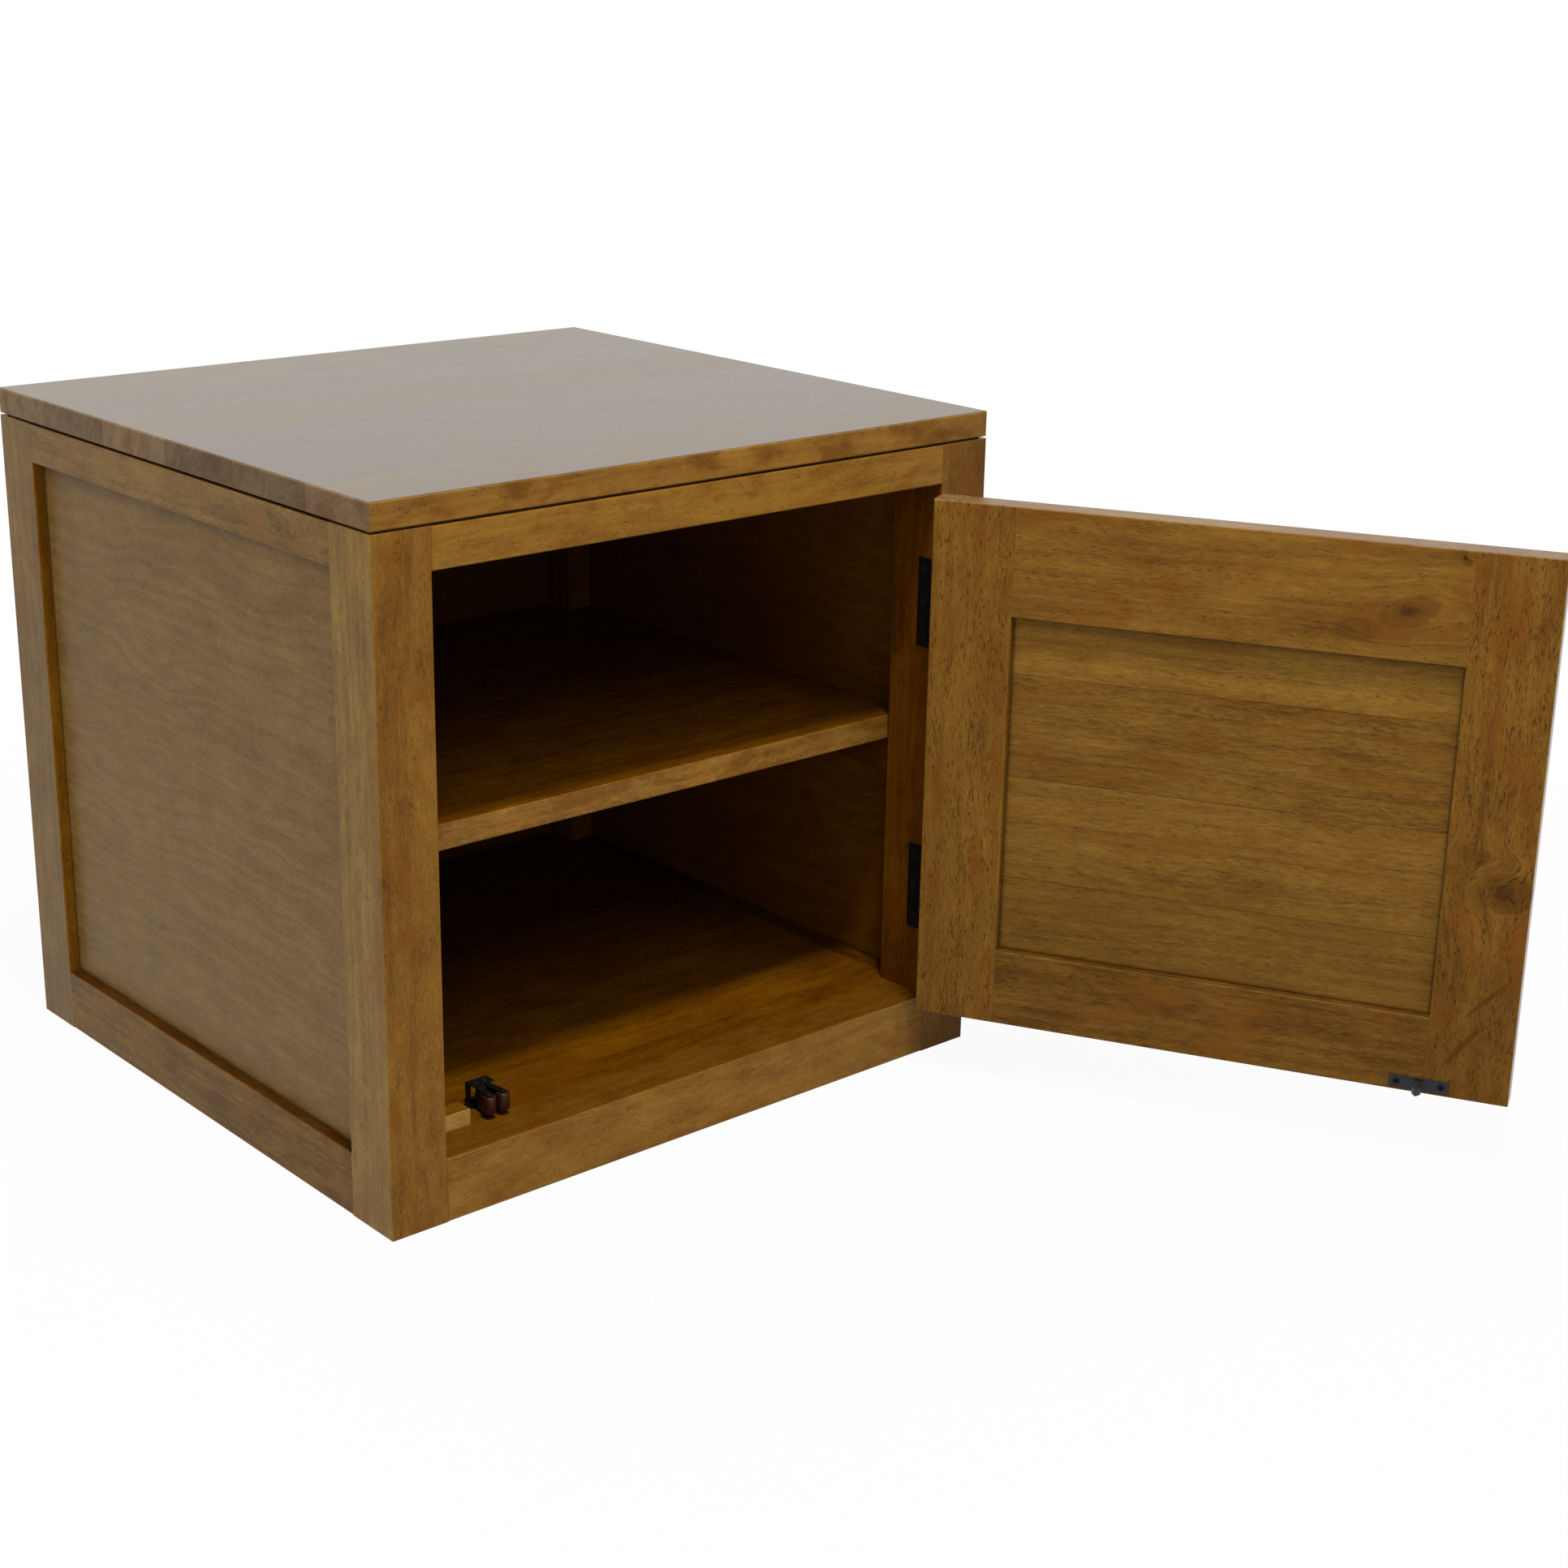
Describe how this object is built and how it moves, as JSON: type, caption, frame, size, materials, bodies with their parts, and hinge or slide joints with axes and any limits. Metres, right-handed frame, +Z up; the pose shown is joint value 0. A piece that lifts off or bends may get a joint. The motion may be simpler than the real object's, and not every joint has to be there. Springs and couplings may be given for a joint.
{
  "type": "storage side table",
  "caption": "Cube-shaped wooden side table with a flush top, frame-and-panel sides, an inner shelf and a hinged panel door held by a roller catch.",
  "frame": {"origin": "on the floor, in the middle of the front bottom rail's underside", "axes": "+X to the right of someone facing the door, +Y from the front to the back, +Z up"},
  "size_m": [0.6543, 0.8741, 0.478],
  "materials": {
    "slab_wood": "satin lacquer",
    "post_wood": "satin lacquer",
    "cross_rail_wood": "satin lacquer",
    "side_rail_wood": "satin lacquer",
    "side_panel_wood": "satin lacquer",
    "back_panel_wood": "satin lacquer",
    "floor_wood": "satin lacquer",
    "shelf_wood": "satin lacquer",
    "cleat_wood": "satin lacquer",
    "stop_wood": "satin lacquer",
    "door_stile_wood": "satin lacquer",
    "door_rail_wood": "satin lacquer",
    "door_panel_wood": "satin lacquer",
    "black_iron": "satin black",
    "hidden_screw_steel": "satin",
    "strike_steel": "satin",
    "catch_black_steel": "satin black",
    "catch_pin_steel": "satin",
    "roller_plastic": "smooth"
  },
  "bodies": {
    "cabinet": {"top_slab": "slab_wood", "front_left_post": "post_wood", "front_right_post": "post_wood", "rear_left_post": "post_wood", "rear_right_post": "post_wood", "front_top_rail": "cross_rail_wood", "front_bottom_rail": "cross_rail_wood", "rear_top_rail": "cross_rail_wood", "rear_bottom_rail": "cross_rail_wood", "left_top_rail": "side_rail_wood", "left_bottom_rail": "side_rail_wood", "right_top_rail": "side_rail_wood", "right_bottom_rail": "side_rail_wood", "left_panel": "side_panel_wood", "right_panel": "side_panel_wood", "back_panel": "back_panel_wood", "bottom_board": "floor_wood", "shelf": "shelf_wood", "left_shelf_cleat": "cleat_wood", "right_shelf_cleat": "cleat_wood", "left_bottom_cleat": "cleat_wood", "right_bottom_cleat": "cleat_wood", "left_top_cleat": "cleat_wood", "right_top_cleat": "cleat_wood", "door_stop_block": "stop_wood", "upper_hinge_post_leaf": "black_iron", "lower_hinge_post_leaf": "black_iron", "upper_hinge_pin": "black_iron", "lower_hinge_pin": "black_iron", "hinge_post_screws": "black_iron", "shelf_cleat_screws": "hidden_screw_steel", "bottom_cleat_screws": "hidden_screw_steel", "top_fixing_screws": "hidden_screw_steel", "catch_housing": "catch_black_steel", "catch_screws": "catch_black_steel", "catch_pivot_pins": "catch_pin_steel", "catch_springs": "catch_pin_steel"},
    "door": {"door_hinge_stile": "door_stile_wood", "door_free_stile": "door_stile_wood", "door_top_rail": "door_rail_wood", "door_bottom_rail": "door_rail_wood", "door_panel": "door_panel_wood", "upper_hinge_door_leaf": "black_iron", "lower_hinge_door_leaf": "black_iron", "hinge_door_screws": "black_iron", "strike_plate": "strike_steel", "strike_screws": "strike_steel"},
    "left_arm": {"catch_left_arm": "catch_black_steel", "catch_left_roller_pin": "catch_pin_steel"},
    "right_arm": {"catch_right_arm": "catch_black_steel", "catch_right_roller_pin": "catch_pin_steel"},
    "left_roller": {"catch_left_roller": "roller_plastic"},
    "right_roller": {"catch_right_roller": "roller_plastic"}
  },
  "joints": [
    {"name": "door_hinge", "type": "hinge", "parent": "cabinet", "child": "door", "pos_m": [0.2116, -0.0227, 0.236], "axis": [0, 0, 1], "range_deg": [-117.8, 81.5]},
    {"name": "left_arm_pivot", "type": "hinge", "parent": "cabinet", "child": "left_arm", "pos_m": [-0.1541, 0.0328, 0.0547], "axis": [0, 0, -1], "range_deg": [0, 10], "stiffness_Nm_per_rad": 0.05, "springref_deg": -5.73},
    {"name": "right_arm_pivot", "type": "hinge", "parent": "cabinet", "child": "right_arm", "pos_m": [-0.1479, 0.0328, 0.0547], "axis": [0, 0, 1], "range_deg": [0, 10], "stiffness_Nm_per_rad": 0.05, "springref_deg": -5.73},
    {"name": "left_roller_spin", "type": "hinge", "parent": "left_arm", "child": "left_roller", "pos_m": [-0.1564, 0.0148, 0.0547], "axis": [0, 0, 1], "continuous": true},
    {"name": "right_roller_spin", "type": "hinge", "parent": "right_arm", "child": "right_roller", "pos_m": [-0.1456, 0.0148, 0.0547], "axis": [0, 0, 1], "continuous": true}
  ]
}
